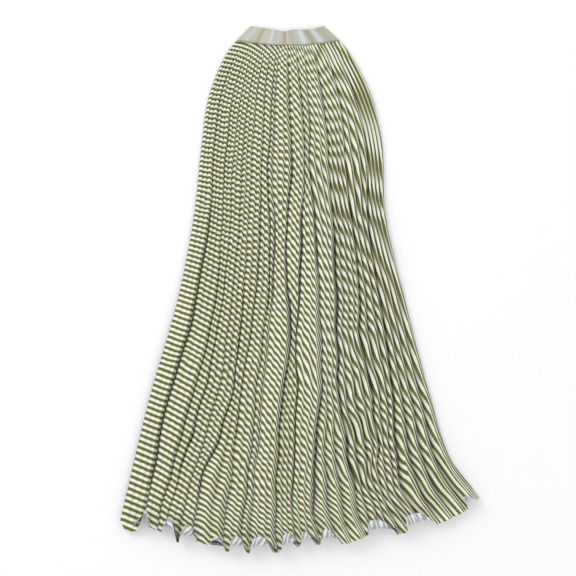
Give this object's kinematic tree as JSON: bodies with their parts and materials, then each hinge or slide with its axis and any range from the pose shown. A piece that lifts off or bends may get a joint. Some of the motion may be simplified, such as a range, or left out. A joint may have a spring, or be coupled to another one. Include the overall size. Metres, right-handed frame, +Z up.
{
  "type": "maxi skirt",
  "caption": "Long fan-pleated striped skirt with an elastic waistband, laid flat on its back with its hem spread.",
  "frame": {"origin": "under the middle of the laid skirt, on the surface it lies on", "axes": "+Y along the skirt to the waist, +X to the right of the front, +Z up, out of the front"},
  "size_m": [0.6874, 1.0056, 0.035],
  "materials": {
    "striped_cloth": "smooth woven cloth, olive and ivory stripes",
    "metallic_elastic": "ribbed metallic elastic, soft sheen"
  },
  "bodies": {
    "root": {"skirt_front": "striped_cloth", "skirt_back": "striped_cloth", "waistband": "metallic_elastic"}
  },
  "joints": []
}
